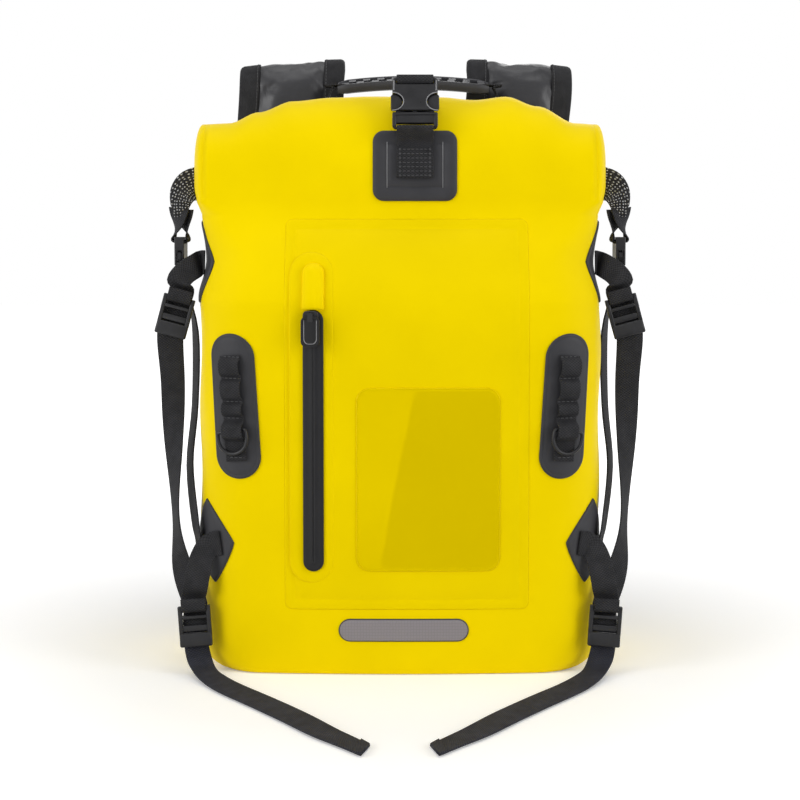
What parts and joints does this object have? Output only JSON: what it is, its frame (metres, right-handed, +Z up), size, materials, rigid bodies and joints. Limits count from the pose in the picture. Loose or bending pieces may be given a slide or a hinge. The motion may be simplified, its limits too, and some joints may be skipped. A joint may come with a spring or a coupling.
{
  "type": "roll-top dry backpack",
  "caption": "Waterproof roll-top dry backpack: hollow welded bag, zipped front pocket, clear window, side straps, buckled roll closure, carry handle and padded shoulder straps.",
  "frame": {"origin": "middle of the flat base, on the floor", "axes": "+Z up the bag, front pocket facing -Y, wearer's back at +Y, +X to the right seen from the front"},
  "size_m": [0.4124, 0.453, 0.5112],
  "materials": {
    "tarpaulin": "yellow coated tarpaulin, satin",
    "clear_film": "clear flexible film over yellow",
    "reflective": "grey retroreflective film",
    "black_rubber": "matt black rubbery film",
    "pad_fabric": "dark grey padded fabric",
    "black_webbing": "woven black webbing",
    "black_plastic": "moulded black plastic"
  },
  "bodies": {
    "bag": {"bag_shell": "tarpaulin", "back_pad": "pad_fabric", "front_pocket_panel": "tarpaulin", "zip_tape": "black_rubber", "zip_garage": "tarpaulin", "clear_window": "clear_film", "reflective_strip": "reflective", "side_patch_left": "black_rubber", "side_patch_right": "black_rubber", "daisy_chain_left": "black_webbing", "daisy_chain_right": "black_webbing", "upper_patch_left": "black_rubber", "upper_patch_right": "black_rubber", "lower_patch_left": "black_rubber", "lower_patch_right": "black_rubber", "upper_anchor_left": "black_webbing", "upper_anchor_right": "black_webbing", "lower_anchor_left": "black_webbing", "lower_anchor_right": "black_webbing", "compression_strap_left": "black_webbing", "compression_strap_right": "black_webbing", "closure_strap_left": "black_webbing", "closure_strap_right": "black_webbing", "side_buckle_male_left": "black_plastic", "side_buckle_male_right": "black_plastic", "shoulder_pad_left": "pad_fabric", "shoulder_pad_right": "pad_fabric", "shoulder_webbing_left": "black_webbing", "shoulder_webbing_right": "black_webbing", "strap_tail_left": "black_webbing", "strap_tail_right": "black_webbing"},
    "roll": {"roll_top": "tarpaulin", "roll_stiffener": "black_plastic", "roll_end_tab_left": "black_webbing", "roll_end_tab_right": "black_webbing", "side_buckle_female_left": "black_plastic", "side_buckle_female_right": "black_plastic", "top_patch": "black_rubber", "top_webbing": "black_webbing", "top_buckle_male": "black_plastic"},
    "closing_strap": {"top_strap": "black_webbing", "top_buckle_female": "black_plastic"},
    "handle": {"carry_handle_grip": "black_rubber", "handle_strap": "black_webbing"},
    "slider": {"zip_slider": "black_plastic"},
    "pull": {"zip_pull": "black_plastic"},
    "top_prong_left_arm": {"top_prong_left": "black_plastic"},
    "side_prong_front_left_arm": {"side_prong_front_left": "black_plastic"},
    "side_prong_rear_left_arm": {"side_prong_rear_left": "black_plastic"},
    "top_prong_right_arm": {"top_prong_right": "black_plastic"},
    "side_prong_front_right_arm": {"side_prong_front_right": "black_plastic"},
    "side_prong_rear_right_arm": {"side_prong_rear_right": "black_plastic"},
    "upper_ladder_lock_left_frame": {"upper_ladder_lock_left": "black_plastic"},
    "upper_ladder_lock_right_frame": {"upper_ladder_lock_right": "black_plastic"},
    "lower_ladder_lock_left_frame": {"lower_ladder_lock_left": "black_plastic"},
    "lower_ladder_lock_right_frame": {"lower_ladder_lock_right": "black_plastic"},
    "shoulder_ladder_lock_left_frame": {"shoulder_ladder_lock_left": "black_plastic"},
    "shoulder_ladder_lock_right_frame": {"shoulder_ladder_lock_right": "black_plastic"},
    "ring_left": {"d_ring_left": "black_plastic"},
    "ring_right": {"d_ring_right": "black_plastic"}
  },
  "joints": [
    {"name": "roll_lift", "type": "slide", "parent": "bag", "child": "roll", "axis": [0, 0, 1], "range_m": [0, 0.12]},
    {"name": "closing_strap_swing", "type": "hinge", "parent": "roll", "child": "closing_strap", "pos_m": [0.0122, 0.01453, 0.44308], "axis": [-1, 0, 0], "range_deg": [0, 60]},
    {"name": "handle_tilt", "type": "hinge", "parent": "bag", "child": "handle", "pos_m": [0.0117, 0.08, 0.368], "axis": [1, 0, 0], "range_deg": [0, 15]},
    {"name": "zip_slide", "type": "slide", "parent": "bag", "child": "slider", "axis": [0, 0, -1], "range_m": [0, 0.185]},
    {"name": "zip_pull_lift", "type": "hinge", "parent": "slider", "child": "pull", "pos_m": [-0.07188, -0.09596, 0.2914], "axis": [-1, 0, 0], "range_deg": [0, 120]},
    {"name": "top_prong_left_squeeze", "type": "slide", "parent": "roll", "child": "top_prong_left_arm", "axis": [1, 0, 0], "range_m": [0, 0.003], "stiffness_N_per_m": 300},
    {"name": "side_prong_front_left_squeeze", "type": "slide", "parent": "bag", "child": "side_prong_front_left_arm", "axis": [0, 1, 0], "range_m": [0, 0.003], "stiffness_N_per_m": 300},
    {"name": "side_prong_rear_left_squeeze", "type": "slide", "parent": "bag", "child": "side_prong_rear_left_arm", "axis": [0, -1, 0], "range_m": [0, 0.003], "stiffness_N_per_m": 300},
    {"name": "top_prong_right_squeeze", "type": "slide", "parent": "roll", "child": "top_prong_right_arm", "axis": [-1, 0, 0], "range_m": [0, 0.003], "stiffness_N_per_m": 300},
    {"name": "side_prong_front_right_squeeze", "type": "slide", "parent": "bag", "child": "side_prong_front_right_arm", "axis": [0, 1, 0], "range_m": [0, 0.003], "stiffness_N_per_m": 300},
    {"name": "side_prong_rear_right_squeeze", "type": "slide", "parent": "bag", "child": "side_prong_rear_right_arm", "axis": [0, -1, 0], "range_m": [0, 0.003], "stiffness_N_per_m": 300},
    {"name": "upper_ladder_lock_left_tilt", "type": "hinge", "parent": "bag", "child": "upper_ladder_lock_left_frame", "pos_m": [-0.18599, -0.047, 0.30597], "axis": [-0.9659, 0, 0.2588], "range_deg": [0, 35]},
    {"name": "upper_ladder_lock_right_tilt", "type": "hinge", "parent": "bag", "child": "upper_ladder_lock_right_frame", "pos_m": [0.18599, -0.047, 0.30597], "axis": [-0.9659, 0, -0.2588], "range_deg": [0, 35]},
    {"name": "lower_ladder_lock_left_tilt", "type": "hinge", "parent": "bag", "child": "lower_ladder_lock_left_frame", "pos_m": [-0.16808, -0.082, 0.05446], "axis": [-0.9976, 0, -0.0698], "range_deg": [0, 35]},
    {"name": "lower_ladder_lock_right_tilt", "type": "hinge", "parent": "bag", "child": "lower_ladder_lock_right_frame", "pos_m": [0.16808, -0.082, 0.05446], "axis": [-0.9976, 0, 0.0698], "range_deg": [0, 35]},
    {"name": "shoulder_ladder_lock_left_tilt", "type": "hinge", "parent": "bag", "child": "shoulder_ladder_lock_left_frame", "pos_m": [-0.1155, 0.1298, 0.16318], "axis": [1, 0, 0], "range_deg": [0, 35]},
    {"name": "shoulder_ladder_lock_right_tilt", "type": "hinge", "parent": "bag", "child": "shoulder_ladder_lock_right_frame", "pos_m": [0.1155, 0.1298, 0.16318], "axis": [1, 0, 0], "range_deg": [0, 35]},
    {"name": "d_ring_left_swing", "type": "hinge", "parent": "bag", "child": "ring_left", "pos_m": [-0.1362, -0.08776, 0.199], "axis": [-0.9398, 0.3063, -0.1513], "range_deg": [0, 130]},
    {"name": "d_ring_right_swing", "type": "hinge", "parent": "bag", "child": "ring_right", "pos_m": [0.1362, -0.08776, 0.199], "axis": [-0.9398, -0.3063, 0.1513], "range_deg": [0, 130]}
  ]
}
